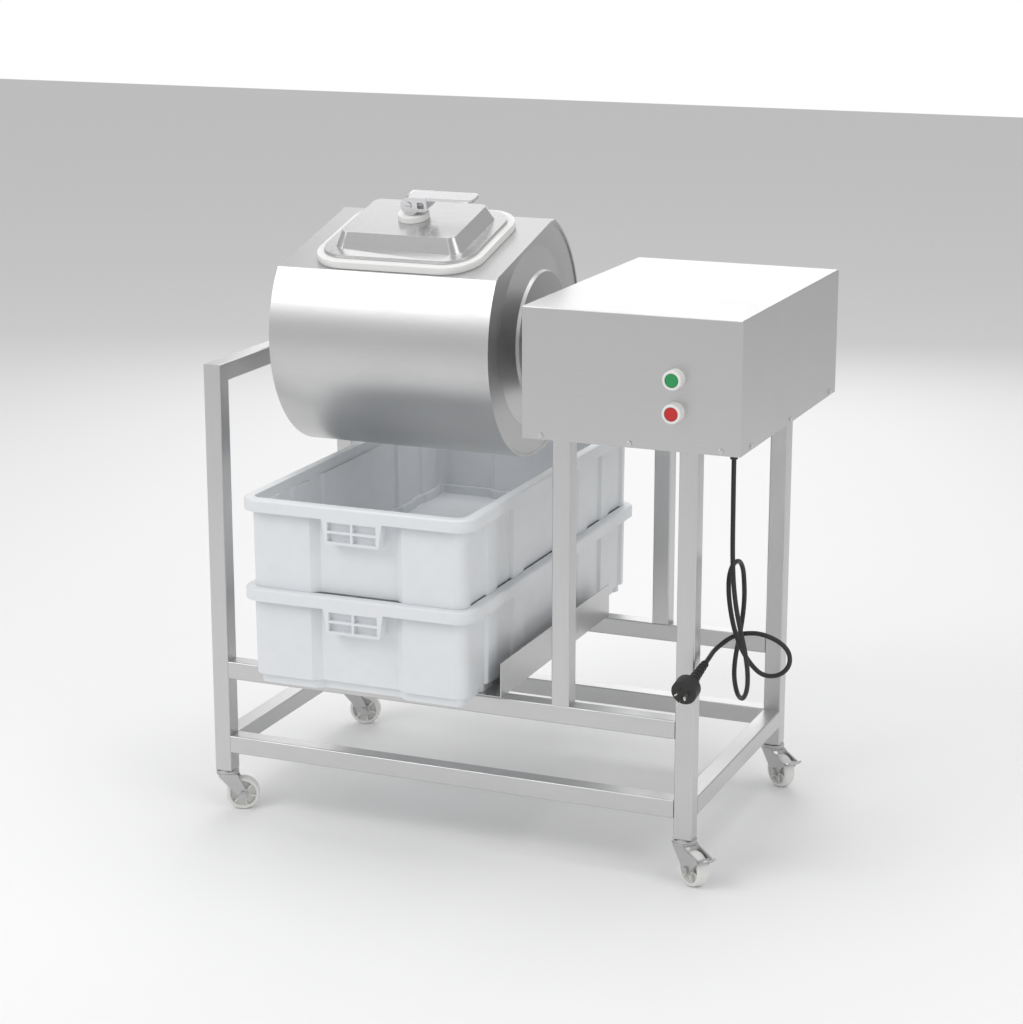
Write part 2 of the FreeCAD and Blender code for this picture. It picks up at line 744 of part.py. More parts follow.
def make_stud():
    """Threaded stud with a flat eye on top and the clamp bar under the lid."""
    bar_top = flat_height - drum_sheet - bar_gap
    bar_low = bar_top - bar_height
    bottom = bar_low - nut_height - 3
    top = pin_height - eye_radius
    stem = rod(stud_radius, top - bottom, V(drum_middle, 0, bottom), V(0, 0, 1))
    half = eye_width / 2
    for y0 in (half, -half - stud_radius):
        stem = stem.cut(block(drum_middle - 2 * stud_radius, drum_middle + 2 * stud_radius,
                              y0, y0 + stud_radius, collar_top - 1, top + 1))
    eye = rod(eye_radius, eye_width, V(drum_middle, -half, pin_height), V(0, 1, 0))
    neck = block(drum_middle - stud_radius, drum_middle + stud_radius, -half, half,
                 collar_top + 1.5 + cam_drop, pin_height)
    eye = eye.fuse(neck)
    hole = rod(pin_radius + journal_gap, eye_width + 2, V(drum_middle, -half - 1, pin_height),
               V(0, 1, 0))
    bar = slab(bar_length, bar_width, 8.0, bar_low, bar_top)
    tip = block(bar_length / 2 - 40, bar_length / 2 + 1, -bar_width, bar_width, 0, bar_height)
    for turn in (0, 180):
        wedge = tip.copy()
        wedge.rotate(V(bar_length / 2 - 40, 0, 0), V(0, 1, 0), -8)
        wedge.translate(V(0, 0, bar_low - bar_height))
        wedge.rotate(V(0, 0, 0), V(0, 0, 1), turn)
        bar = bar.cut(wedge)
    bar.translate(V(drum_middle, 0, 0))
    nut = hexagon(12.5, nut_height, V(drum_middle, 0, bar_low - nut_height), V(0, 0, 1))
    return stem.fuse(eye).cut(hole).fuse(bar).fuse(nut).removeSplitter()


def make_lever():
    """Cam lever: eccentric cheeks, slot for the eye, flat handle."""
    side = cam_offset * math.sqrt(0.5)
    centre = V(drum_middle + side, -cam_width / 2, pin_height - side)
    top = centre.z + cam_radius
    cam = rod(cam_radius, cam_width, centre, V(0, 1, 0))
    nose = block(centre.x, drum_middle + cam_nose, centre.y, -centre.y,
                 centre.z - cam_radius * 0.6, top)
    corner = [e for e in nose.Edges if e.BoundBox.XMin > drum_middle + cam_nose - 0.01 and
              e.BoundBox.ZMax < centre.z]
    body = cam.fuse(nose.makeFillet(cam_radius * 0.5, corner))
    handle = slab(handle_reach, handle_width, 9.0, top - handle_sheet, top)
    handle.translate(V(drum_middle + handle_reach / 2, 0, 0))
    body = body.fuse(handle)
    half = eye_width / 2 + stud_gap
    slot = block(drum_middle - cam_radius * 2, drum_middle + stud_radius + 2, -half, half,
                 collar_top - 5, pin_height + eye_radius + 0.7)
    window = slab(12, 11, 3.0, -cam_width / 2 - 1, cam_width / 2 + 1)
    window.rotate(V(0, 0, 0), V(1, 0, 0), 90)
    window.translate(V(drum_middle + window_offset, 0, pin_height + 0.5))
    bore = rod(pin_radius, cam_width + 2, V(drum_middle, -cam_width / 2 - 1, pin_height),
               V(0, 1, 0))
    pin = rod(pin_radius, cam_width, V(drum_middle, -cam_width / 2, pin_height), V(0, 1, 0))
    head = rod(6.0, 2.5, V(drum_middle, -cam_width / 2 - 2.5, pin_height), V(0, 1, 0))
    groove = block(drum_middle - 7, drum_middle + 7, -cam_width / 2 - 3, -cam_width / 2 - 1.3,
                   pin_height - 0.8, pin_height + 0.8)
    pin = pin.fuse(head).cut(groove).removeSplitter()
    return body.cut(slot).cut(window).cut(bore).removeSplitter(), pin


# ================================================================ bearings
def make_bearing(x, base_z):
    """Pillow block with its insert and two base bolts, shaft along x."""
    half_w = bearing_width / 2
    b = bearing_base / 2
    r = bearing_ring_radius + 9.0
    top_z = base_z + bearing_height
    foot = block(x - half_w, x + half_w, axis_y - b, axis_y + b, base_z, base_z + 13)
    for y in (axis_y - b, axis_y + b):
        inward = -1 if y > axis_y else 1
        trim = block(x - half_w - 1, x + half_w + 1, min(y, y + inward * 12),
                     max(y, y + inward * 12), base_z + 8, base_z + 14)
        foot = foot.cut(trim)
    body = rod(r, bearing_width - 8, V(x - half_w + 4, axis_y, top_z), V(1, 0, 0))
    web = block(x - half_w + 4, x + half_w - 4, axis_y - r, axis_y + r, base_z, top_z)
    shell = foot.fuse(body).fuse(web)
    seat = rod(bearing_ring_radius, bearing_width + 2, V(x - half_w - 1, axis_y, top_z),
               V(1, 0, 0))
    shell = shell.cut(seat)
    holes = []
    for side in (-1, 1):
        spot = V(x, axis_y + side * (b - 17.5), base_z)
        shell = shell.cut(rod(5.5, 20, spot - V(0, 0, 1), V(0, 0, 1)))
        head = hexagon(8.5, 6.5, spot + V(0, 0, 13), V(0, 0, 1))
        holes.append(head.fuse(rod(5.5, 13, spot, V(0, 0, 1))))
    ring = rod(bearing_ring_radius, bearing_width - 8, V(x - half_w + 4, axis_y, top_z),
               V(1, 0, 0))
    bore = rod(shaft_radius + journal_gap, bearing_width + 2,
               V(x - half_w - 1, axis_y, top_z), V(1, 0, 0))
    return Part.makeCompound([shell.removeSplitter(), ring.cut(bore)] + holes)


def make_end_block():
    """Compact bearing block on the left top bar, behind the drum."""
    x = end_block_x - end_block_width / 2
    r = end_block_radius
    body = rod(r, end_block_width, V(x, axis_y, axis_z), V(1, 0, 0))
    body = body.fuse(block(x, x + end_block_width, axis_y - r, axis_y + r, left_top, axis_z))
    body = body.cut(rod(end_block_ring, end_block_width + 2, V(x - 1, axis_y, axis_z),
                        V(1, 0, 0)))
    ring = rod(end_block_ring, end_block_width, V(x, axis_y, axis_z), V(1, 0, 0))
    bore = rod(shaft_radius + journal_gap, end_block_width + 2, V(x - 1, axis_y, axis_z),
               V(1, 0, 0))
    return Part.makeCompound([body.removeSplitter(), ring.cut(bore)])


# ================================================================ drive box
box_right = box_left + box_length
box_rear = box_front + box_depth
box_top = box_bottom + box_height
bearer_z = box_bottom + tray_sheet
base_z = bearer_z + tube


def make_cover():
    """Five-sided folded cover with a notch for the shaft and button holes."""
    outer = block(box_left, box_right, box_front, box_rear, box_bottom, box_top)
    top_edges = [e for e in outer.Edges if e.BoundBox.ZMin > box_top - 0.01 or
                 e.BoundBox.ZLength > box_height - 0.01]
    outer = outer.makeFillet(cover_bend, top_edges)
    s = cover_sheet
    inner = block(box_left + s, box_right - s, box_front + s, box_rear - s,
                  box_bottom - 1, box_top - s)
    cover = outer.cut(inner)
    notch_r = notch_radius
    notch = rod(notch_r, 3 * s, V(box_left - s, axis_y, axis_z), V(1, 0, 0))
    notch = notch.fuse(block(box_left - s, box_left + 2 * s, axis_y - notch_r, axis_y + notch_r,
                             box_bottom - 1, axis_z))
    cover = cover.cut(notch)
    for z in (start_z, stop_z):
        cover = cover.cut(rod(bezel_radius - 4, 3 * s, V(button_x, box_front - s, z), V(0, 1, 0)))
    for x, y, axis in screw_places():
        spot = V(x, y, box_bottom + screw_height)
        cover = cover.cut(rod(screw_shank, 2 * s, spot, axis * -1))
    return cover


def screw(x, y, axis):
    """Pan head screw with a cross recess, through the cover into the tray."""
    z = box_bottom + screw_height
    spot = V(x, y, z)
    r = screw_head / 2
    h = screw_head_height
    head = rod(r, h, spot, axis)
    rim = [e for e in head.Edges if len(e.Vertexes) == 1 and
           abs((e.Vertexes[0].Point - spot).dot(axis) - h) < 0.01]
    head = head.makeFillet(h * 0.45, rim)
    shank = rod(screw_shank, cover_sheet + tray_sheet, spot, axis * -1)
    return head.fuse(shank).removeSplitter()


def screw_places():
    inset = 31.0
    for x in (box_left + inset, (box_left + box_right) / 2, box_right - inset):
        yield x, box_front, V(0, -1, 0)
        yield x, box_rear, V(0, 1, 0)
    for y in (box_front + 54, (box_front + box_rear) / 2, box_rear - 35):
        yield box_right, y, V(1, 0, 0)
    for y in (box_front + 54, box_rear - 54):
        yield box_left, y, V(-1, 0, 0)


def make_tray():
    """Folded pan on the four legs, with two bearers welded on top."""
    s = cover_sheet
    x0, x1 = box_left + s, box_right - s
    y0, y1 = box_front + s, box_rear - s
    pan = block(x0, x1, y0, y1, box_bottom, box_bottom + tray_lip)
    pan = pan.cut(block(x0 + tray_sheet, x1 - tray_sheet, y0 + tray_sheet, y1 - tray_sheet,
                        box_bottom + tray_sheet, box_bottom + tray_lip + 1))
    pan = pan.cut(rod(gland_radius - 2, 3 * tray_sheet, V(gland_x, gland_y, box_bottom - 1),
                      V(0, 0, 1)))
    for x, y, axis in screw_places():
        spot = V(x, y, box_bottom + screw_height)
        pan = pan.cut(rod(screw_shank, 2 * (s + tray_sheet), spot, axis * -1))
    return pan


def make_bearers():
    x0, x1 = box_left + bearer_inset, box_right - 2.5 * bearer_inset
    return [tube_x(x0, x1, y, bearer_z) for y in (tube, rear_y - tube)]


def make_base():
    """Plate across the bearers with the stand for the right bearing."""
    plate = block(box_left + 16, box_right - 16, tube, rear_y, base_z, base_z + base_sheet)
    corner = 2.5 * gland_radius
    plate = plate.cut(block(gland_x - corner, box_right, 0, gland_y + corner, base_z - 1,
                            base_z + base_sheet + 1))
    low = base_z + base_sheet
    high = axis_z - bearing_height
    x = inner_leg_x + tube / 2
    stand = block(x - 20, x + 20, axis_y - 70, axis_y + 70, low, high)
    hollow = block(x - 17, x + 17, axis_y - 71, axis_y + 71, low + 3, high - 3)
    return plate.fuse(stand.cut(hollow)).removeSplitter()


reducer_x = inner_leg_x + tube / 2 + bearing_width / 2 + 12


def make_reducer():
    """Worm gear unit on the shaft: hollow output, feet, worm housing above."""
    x0, x1 = reducer_x, reducer_x + reducer_length
    low = base_z + base_sheet
    y0, y1 = axis_y - reducer_width / 2, axis_y + reducer_width / 2
    body = block(x0 + 14, x1 - 14, y0, y1, low + 8, box_top - cover_sheet - 6)
    edges = [e for e in body.Edges if e.BoundBox.XLength > 1]
    body = body.makeFillet(14.0, edges)
    feet = block(x0 + 4, x1 - 4, y0 - 10, y1 + 10, low, low + 10)
    flange = rod(46.0, x1 - x0, V(x0, axis_y, axis_z), V(1, 0, 0))
    worm = rod(motor_radius, reducer_width + 12, V((x0 + x1) / 2, y0 - 12, axis_z + worm_rise),
               V(0, 1, 0))
    unit = body.fuse(feet).fuse(flange).fuse(worm)
    bore = rod(shaft_radius + journal_gap, x1 - x0 + 2, V(x0 - 1, axis_y, axis_z), V(1, 0, 0))
    return unit.cut(bore).removeSplitter()


def make_motor():
    """Finned motor bolted to the worm housing, with fan cowl and terminal box."""
    x = reducer_x + reducer_length / 2
    y1 = axis_y - reducer_width / 2 - 12
    y0 = y1 - motor_length
    z = axis_z + worm_rise
    body = rod(motor_radius - 4, motor_length - 40, V(x, y0 + 40, z), V(0, 1, 0))
    cowl = rod(motor_radius, 38, V(x, y0, z), V(0, 1, 0))
    neck = rod(motor_radius - 8, 4, V(x, y0 + 37, z), V(0, 1, 0))
    flange = rod(motor_radius, 8, V(x, y1 - 8, z), V(0, 1, 0))
    motor = body.fuse(cowl).fuse(neck).fuse(flange)
    fin = block(motor_radius - 6, motor_radius, 0, motor_length - 58, -1, 1)
    for k in range(16):
        blade = fin.copy()
        blade.rotate(V(0, 0, 0), V(0, 1, 0), 22.5 * k)
        blade.translate(V(x, y0 + 44, z))
        motor = motor.fuse(blade)
    box = block(x - 30, x + 30, y0 + 52, y0 + 112, z - motor_radius - 22, z - motor_radius + 12)
    return motor.fuse(box).removeSplitter()


def make_pump():
    """Small vacuum pump lying along y on two feet."""
    x = box_right - 70
    y0 = axis_y + 40
    low = base_z + base_sheet
    z = low + 14 + pump_radius
    body = rod(pump_radius, pump_length, V(x, y0, z), V(0, 1, 0))
    head = block(x - 34, x + 34, y0 + pump_length, y0 + pump_length + 36, low + 10, z + 40)
    pump = body.fuse(head)
    for y in (y0 + 14, y0 + pump_length - 22):
        pump = pump.fuse(block(x - 38, x + 38, y, y + 8, low, low + 18))
    port = rod(hose_radius - 1, 16, V(x, y0 + 30, z + pump_radius - 4), V(0, 0, 1))
    return pump.fuse(port).removeSplitter(), V(x, y0 + 30, z + pump_radius + 12)


def smooth_tube(points, radius):
    """Tube along straight runs joined by tangent arcs."""
    edges = []
    radii = []
    last = points[0]
    for i in range(1, len(points) - 1):
        back = points[i - 1] - points[i]
        ahead = points[i + 1] - points[i]
        turn = math.pi - back.getAngle(ahead)
        reach = 0.45 * min(back.Length, ahead.Length)
        radii.append(reach / math.tan(turn / 2))
        back.normalize()
        ahead.normalize()
        start = points[i] + back * reach
        end = points[i] + ahead * reach
        bisect = back + ahead
        bisect.normalize()
        to_centre = radii[-1] / math.cos(turn / 2)
        middle = points[i] + bisect * (to_centre - radii[-1])
        edges.append(Part.LineSegment(last, start).toShape())
        edges.append(Part.Arc(start, middle, end).toShape())
        last = end
    edges.append(Part.LineSegment(last, points[-1]).toShape())
    path = Part.Wire(edges)
    ring = Part.Wire(Part.Circle(points[0], points[1] - points[0], radius).toShape())
    solid = path.makePipeShell([ring], True, False)
    return solid, path.Length, radii


def make_union_and_hose(port):
    """Rotary union on the hollow shaft and the hose to the pump."""
    x = shaft_right_end - 14
    union = rod(17.0, 34, V(x, axis_y, axis_z), V(1, 0, 0))
    union = union.cut(rod(shaft_radius + journal_gap, 14 + 1.5, V(x - 1, axis_y, axis_z),
                          V(1, 0, 0)))
    nipple = rod(hose_radius - 1, 14, V(x + 26, axis_y, axis_z + 14), V(0, 0, 1))
    union = union.fuse(nipple).removeSplitter()
    start = V(x + 26, axis_y, axis_z + 28)
    points = [start, start + V(0, 0, 26), V(port.x - 4, (start.y + port.y) / 2, start.z + 42),
              V(port.x, port.y, start.z + 30), port]
    hose = smooth_tube(points, hose_radius)[0]
    return union, hose


def make_contactor():
    """Contactor and terminal block on a mounting rail behind the buttons."""
    low = base_z + base_sheet
    x = button_x
    rail = block(x - 60, x + 40, 130, 165, low, low + 7)
    unit = block(x - 50, x - 4, 112, 184, low + 7, low + 82)
    unit = unit.cut(block(x - 51, x - 3, 111, 126, low + 50, low + 83))
    strip = block(x + 2, x + 34, 122, 172, low + 7, low + 50)
    for k in range(4):
        strip = strip.cut(block(x + 5 + 8 * k, x + 9 + 8 * k, 121, 132, low + 30, low + 51))
    return Part.makeCompound([rail, unit, strip])


def make_button(z):
    """Button housing through the cover: bezel outside, contact block inside."""
    face = box_front
    bezel = rod(bezel_radius, bezel_reach, V(button_x, face, z), V(0, -1, 0))
    outer = [e for e in bezel.Edges if len(e.Vertexes) == 1 and
             abs(e.Vertexes[0].Y - (face - bezel_reach)) < 0.01]
    bezel = bezel.makeFillet(1.5, outer)
    stem = rod(bezel_radius - 4, 16, V(button_x, face, z), V(0, 1, 0))
    nut = rod(bezel_radius, 5, V(button_x, face + cover_sheet, z), V(0, 1, 0))
    block_in = block(button_x - 14, button_x + 14, face + 16, face + 16 + button_body,
                     z - 19, z + 19)
    body = bezel.fuse(stem).fuse(nut).fuse(block_in)
    well = rod(cap_radius + cap_gap, 12, V(button_x, face - bezel_reach - 1, z), V(0, 1, 0))
    bore = rod(plunger_radius + cap_gap, 26, V(button_x, face - bezel_reach - 1, z), V(0, 1, 0))
    cap = rod(cap_radius, 6.0, V(button_x, face - bezel_reach + 0.5, z), V(0, 1, 0))
    front = [e for e in cap.Edges if len(e.Vertexes) == 1 and
             abs(e.Vertexes[0].Y - (face - bezel_reach + 0.5)) < 0.01]
    cap = cap.makeFillet(1.2, front)
    cap = cap.fuse(rod(plunger_radius, 14, V(button_x, face - bezel_reach + 6, z), V(0, 1, 0)))
    return body.cut(well).cut(bore).removeSplitter(), cap.removeSplitter()


# ================================================================ cord
def make_gland():
    """Nylon gland under the tray with a ribbed, tapered sleeve."""
    z = box_bottom
    flange = rod(gland_radius, 4, V(gland_x, gland_y, z - 4), V(0, 0, 1))
    throat = rod(gland_radius - 2, 4 + tray_sheet + 4, V(gland_x, gland_y, z - 4), V(0, 0, 1))
    nut = rod(gland_radius, 3, V(gland_x, gland_y, z + tray_sheet), V(0, 0, 1))
    sleeve = Part.makeCone(cord_radius + 2, gland_radius - 2, gland_drop - 4,
                           V(gland_x, gland_y, z - gland_drop), V(0, 0, 1))
    gland = flange.fuse(throat).fuse(nut).fuse(sleeve)
    bore = rod(cord_radius, 2 * gland_drop, V(gland_x, gland_y, z - gland_drop - 1), V(0, 0, 1))
    return gland.cut(bore).removeSplitter()


def plug_placement():
    """Plug frame: z out of the pin face, y along the earth pin's line."""
    tip = V(*cord_route[-1])
    out = plug_face - tip
    length = out.Length
    out.normalize()
    up = V(0, 0, 1) - out * out.z
    up.normalize()
    right = up.cross(out)
    roll = math.radians(plug_roll)
    y = right * math.cos(roll) + up * math.sin(roll)
    x = y.cross(out)
    m = FreeCAD.Matrix(x.x, y.x, out.x, plug_face.x, x.y, y.y, out.y, plug_face.y,
                       x.z, y.z, out.z, plug_face.z, 0, 0, 0, 1)
    return FreeCAD.Placement(m), length


def make_plug():
    """Moulded plug with a ribbed relief, and its three flat pins."""
    place, length = plug_placement()
    down = V(0, 0, -1)
    body = rod(plug_radius, plug_body, V(0, 0, 0), down)
    body = body.makeFillet(2.0, [e for e in body.Edges if len(e.Vertexes) == 1 and
                                 abs(e.Vertexes[0].Z) < 0.01])
    body = body.fuse(Part.makeCone(plug_radius, relief_root, plug_neck, V(0, 0, -plug_body), down))
    start = plug_body + plug_neck
    relief = length - start
    body = body.fuse(Part.makeCone(relief_root, relief_tip, relief, V(0, 0, -start), down))
    for k in range(relief_rings):
        z = start + 5 + k * (relief - 10) / (relief_rings - 1)
        outer = relief_root + 0.8 - (relief_root - relief_tip) * (z - start) / relief
        body = body.fuse(rod(outer, 2.6, V(0, 0, -z), down))
    pins = []
    for x, y, lean in ((-7.0, 3.5, -30.0), (7.0, 3.5, 30.0), (0.0, -10.5, 0.0)):
        pin = block(-blade_sheet / 2, blade_sheet / 2, -blade_width / 2, blade_width / 2,
                    -6, blade_length)
        pin.rotate(V(0, 0, 0), V(0, 0, 1), lean)
        pin.translate(V(x, y, 0))
        body = body.cut(pin)
        pins.append(pin)
    body = body.removeSplitter()
    blades = Part.makeCompound(pins)
    for shape in (body, blades):
        shape.transformShape(place.toMatrix())
    return body, blades


def make_cord():
    points = [V(*p) for p in cord_route]
    cord, length, radii = smooth_tube(points, cord_radius)
    ratio = cord.Volume / (math.pi * cord_radius ** 2 * length)
    print("cord length %.1f, volume ratio %.4f" % (length, ratio))
    print("cord arc radii " + " ".join("%.0f" % r for r in radii))
    return cord


# ================================================================ assembly
def build():
    make_stand()
    add("left_bin_guide", bin_guide(1))
    add("right_bin_guide", bin_guide(-1))
    make_casters()
    add("drive_subframe", Part.makeCompound([make_tray()] + make_bearers()))
    add("drive_base", make_base())
    add("left_bearing", make_end_block())
    add("right_bearing", make_bearing(inner_leg_x + tube / 2, axis_z - bearing_height))
    add("gear_reducer", make_reducer())
    add("drive_motor", make_motor())
    pump, port = make_pump()
    union, hose = make_union_and_hose(port)
    add("vacuum_pump", pump)
    add("vacuum_hose", hose)
    add("rotary_union", union)
    add("contactor", make_contactor())
    add("drive_cover", make_cover())
    add("cover_screws", Part.makeCompound([screw(*p) for p in screw_places()]))
    for name, z in (("start", start_z), ("stop", stop_z)):
        body, cap = make_button(z)
        add(name + "_button_body", body)
        add(name + "_button_cap", cap)
    add("cord_gland", make_gland())
    add("mains_cord", make_cord())
    body, blades = make_plug()
    add("plug_body", body)
    add("plug_blades", blades)
    add("drum_shell", on_drum(make_drum_shell()))
    add("left_drum_end", on_drum(drum_end_plate(-1)))
    add("right_drum_end", on_drum(drum_end_plate(1)))
    add("left_shaft", on_drum(make_shaft(-1)))
    add("right_shaft", on_drum(make_shaft(1)))
    add("mixing_paddles", on_drum(make_paddles()))
    add("hatch_neck", on_drum(make_hatch_neck()))
    add("hatch_gasket", on_drum(make_gasket()))
    add("hatch_lid", on_drum(make_lid()))
    add("clamp_collar", on_drum(make_collar()))
    add("clamp_stud", on_drum(make_stud()))
    add("clamp_lever", on_drum(Part.makeCompound(make_lever())))
    low = middle_rail_top + guide_sheet + rest_gap
    add("lower_bin", make_bin(low))
    add("upper_bin", make_bin(low + bin_height - bin_foot + rest_gap))


cord_names = ("mains_cord", "plug_body", "plug_blades", "cord_gland")


def main():
    build()
    box = FreeCAD.BoundBox()
    for name, shape in parts.items():
        if name not in cord_names:
            box.add(shape.optimalBoundingBox(False))
    shift = V(-box.Center.x, -box.Center.y, -box.ZMin)
    print("box %.2f %.2f %.2f" % (box.XLength, box.YLength, box.ZLength))
    print("shift %.4f %.4f %.4f" % (shift.x, shift.y, shift.z))
    os.makedirs("parts", exist_ok=True)
    for name, shape in parts.items():
        shape = shape.copy()
        shape.translate(shift)
        if not shape.isValid():
            print("invalid shape: " + name)
        shape.exportStep("parts/" + name + ".step")
        print("%-28s solids %d volume %.0f" % (name, len(shape.Solids), shape.Volume))
    print("%d nodes" % len(parts))


main()
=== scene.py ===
# Finishes, mains cord and stage of the meat vacuum tumbler, laid out as an
# add-on and run as a script.  Metres, in the same frame as the solid parts.
import math
import bpy
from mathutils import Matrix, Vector


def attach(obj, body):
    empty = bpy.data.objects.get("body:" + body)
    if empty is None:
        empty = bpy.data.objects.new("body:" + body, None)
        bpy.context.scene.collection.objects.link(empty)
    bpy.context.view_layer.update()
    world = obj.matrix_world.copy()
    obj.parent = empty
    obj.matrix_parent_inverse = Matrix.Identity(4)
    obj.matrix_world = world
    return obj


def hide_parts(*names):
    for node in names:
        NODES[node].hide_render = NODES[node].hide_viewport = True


bl_info = {
    "name": "Meat tumbler finishes",
    "version": (1, 0, 0),
    "blender": (4, 5, 0),
    "location": "3D View > Sidebar > Tumbler",
    "description": "Builds the finishes, the mains cord and the stage of a meat vacuum tumbler",
    "category": "Object",
}

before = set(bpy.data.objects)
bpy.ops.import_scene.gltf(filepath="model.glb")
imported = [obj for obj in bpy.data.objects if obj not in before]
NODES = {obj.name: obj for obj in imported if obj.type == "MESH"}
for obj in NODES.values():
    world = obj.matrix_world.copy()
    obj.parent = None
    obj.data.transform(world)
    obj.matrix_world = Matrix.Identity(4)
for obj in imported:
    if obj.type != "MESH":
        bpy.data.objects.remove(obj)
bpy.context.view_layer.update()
MM = 0.001
SHIFT = Vector((-451.5803, -283.5, 0.0))


def bench(x, y, z):
    """A point given in bench millimetres, in the row frame in metres."""
    return (Vector((x, y, z)) + SHIFT) * MM


CORD_ROUTE = (
    (877, 60, 700), (877, 60, 652), (877.8, 59, 597), (879, 56, 554), (881, 52, 516),
    (884.5, 48, 479), (890, 46, 443), (898, 45.5, 408), (906, 47, 374), (910, 50.5, 340),
    (908, 56, 310), (896, 72, 288), (879, 97, 287), (867, 116, 309), (868, 118, 340),
    (874, 118, 374), (879, 118, 409), (881, 118, 439), (880, 118, 464), (878, 117, 488),
    (876, 101.6, 504), (873.5, 78.4, 504), (872, 63, 488), (872.5, 62, 460), (876, 64, 430),
    (882, 67, 400), (891, 72, 372), (904, 81, 345), (921, 91, 325), (945, 98, 325),
    (962, 100, 342), (962, 98, 366), (945, 95, 383), (918, 91, 393), (893, 88, 392),
    (871, 85, 384), (856, 75, 371), (851.5, 56, 366), (852.7, 36.5, 363.2),
    (851.9, 17, 358.9))

STEEL_Z = ("left_front_post", "left_rear_post", "right_front_post", "right_rear_post",
           "inner_front_leg", "inner_rear_leg")
STEEL_X = ("front_middle_rail", "rear_middle_rail", "front_lower_rail", "rear_lower_rail")
STEEL_Y = ("left_top_bar", "left_lower_rail", "right_lower_rail")
CORNERS = ("front_left", "front_right", "rear_left", "rear_right")

# Camera in bench millimetres, lens in millimetres on a 36 mm sensor.
SENSOR = 36.0
LENS = 88.77
CAMERA_PLACE = (1989.7, -3500.0, 1550.6)
CAMERA_TARGET = (438.2, 240.0, 503.9)
VIEW_DEPTH = 50.0

# Lamps: name, place, side of the square, share of the main lamp's power.
LAMPS = (("Key", (-2.2, -3.0, 3.4), 2.6, 1.0), ("Fill", (3.4, -1.6, 2.2), 2.4, 0.45),
         ("Top", (0.0, 0.4, 3.6), 2.6, 0.6), ("Back", (-1.0, 3.2, 2.0), 2.4, 0.35))
LAMP_TARGET = (0.0, 0.0, 0.5)
FLOOR_REACH = 12.0
WORLD_STRENGTH = 0.55

# Edge rounding in metres, and the angle that counts as a sharp edge in degrees.
CLAMP_EDGE = 0.0008
GASKET_EDGE = 0.0015
LID_EDGE = 0.0012
CASTING_EDGE = 0.001
TOTE_EDGE = 0.0015
CASTER_EDGE = 0.0005
SHARP_ANGLE = 40.0
TOTE_SHARP_ANGLE = 28.0
WELD_DISTANCE = 1e-5

# Grain stretch across and along the polish, and the depth of every bump.
FINE_GRAIN = 1600.0
LONG_GRAIN = 22.0
BUMP_DISTANCE = 0.0004


# ------------------------------------------------------------- settings
class TumblerSteel(bpy.types.PropertyGroup):
    tone: bpy.props.FloatVectorProperty(
        name="Steel colour", description="Base colour of the stainless steel",
        subtype="COLOR", size=3, min=0.0, max=1.0, default=(0.60, 0.60, 0.60))
    grain: bpy.props.FloatProperty(
        name="Grain", description="Depth of the brushed grain", min=0.0, max=1.0, default=0.22)
    edge: bpy.props.FloatProperty(
        name="Edge radius", description="Rounding of sheet and casting edges",
        subtype="DISTANCE", min=0.0, max=0.003, default=0.0006)


class TumblerPlastic(bpy.types.PropertyGroup):
    tote: bpy.props.FloatVectorProperty(
        name="Tote colour", description="Base colour of the two totes",
        subtype="COLOR", size=3, min=0.0, max=1.0, default=(0.78, 0.80, 0.82))
    start: bpy.props.FloatVectorProperty(
        name="Start cap", description="Colour of the start button's cap",
        subtype="COLOR", size=3, min=0.0, max=1.0, default=(0.02, 0.30, 0.09))
    stop: bpy.props.FloatVectorProperty(
        name="Stop cap", description="Colour of the stop button's cap",
        subtype="COLOR", size=3, min=0.0, max=1.0, default=(0.55, 0.02, 0.02))


class TumblerCord(bpy.types.PropertyGroup):
    diameter: bpy.props.FloatProperty(
        name="Cord diameter", description="Outside diameter of the mains cord",
        subtype="DISTANCE", min=0.005, max=0.010, default=0.0075)
    tone: bpy.props.FloatVectorProperty(
        name="Cord colour", description="Colour of the cord's sheath",
        subtype="COLOR", size=3, min=0.0, max=1.0, default=(0.018, 0.018, 0.018))


class TumblerStage(bpy.types.PropertyGroup):
    floor: bpy.props.FloatVectorProperty(
        name="Floor colour", description="Colour of the floor",
        subtype="COLOR", size=3, min=0.0, max=1.0, default=(0.92, 0.92, 0.92))
    lamp: bpy.props.FloatProperty(
        name="Lamp power", description="Power of the main lamp in watts", min=0.0, default=60.0)


# ------------------------------------------------------------- node helpers
def link(tree, source, target):
    tree.links.new(source, target)


def node(tree, kind, **values):
    made = tree.nodes.new(kind)
    for key, value in values.items():
        setattr(made, key, value)
    return made


def maths(tree, operation, *values):
    """A math node with each value linked if it is a socket, or else typed in."""
    made = node(tree, "ShaderNodeMath", operation=operation)
    for target, value in zip(made.inputs, values):
        if isinstance(value, bpy.types.NodeSocket):
            link(tree, value, target)
        else:
            target.default_value = value
    return made.outputs[0]


def noise(tree, vector, scale, detail):
    """A noise texture's value on these coordinates."""
    made = node(tree, "ShaderNodeTexNoise")
    made.inputs["Detail"].default_value = detail
    link(tree, vector, made.inputs["Vector"])
    if isinstance(scale, bpy.types.NodeSocket):
        link(tree, scale, made.inputs["Scale"])
    else:
        made.inputs["Scale"].default_value = scale
    return made.outputs["Fac"]


def tinted(tree, colour, factor):
    """A colour made lighter or darker by a factor."""
    made = node(tree, "ShaderNodeVectorMath", operation="SCALE")
    link(tree, colour, made.inputs[0])
    link(tree, factor, made.inputs["Scale"])
    return made.outputs[0]


def hand_out(tree, leave, colour, roughness, height):
    """Links an effect's three results to the group's outputs."""
    link(tree, colour, leave.inputs["Colour"])
    link(tree, roughness, leave.inputs["Roughness"])
    link(tree, height, leave.inputs["Height"])


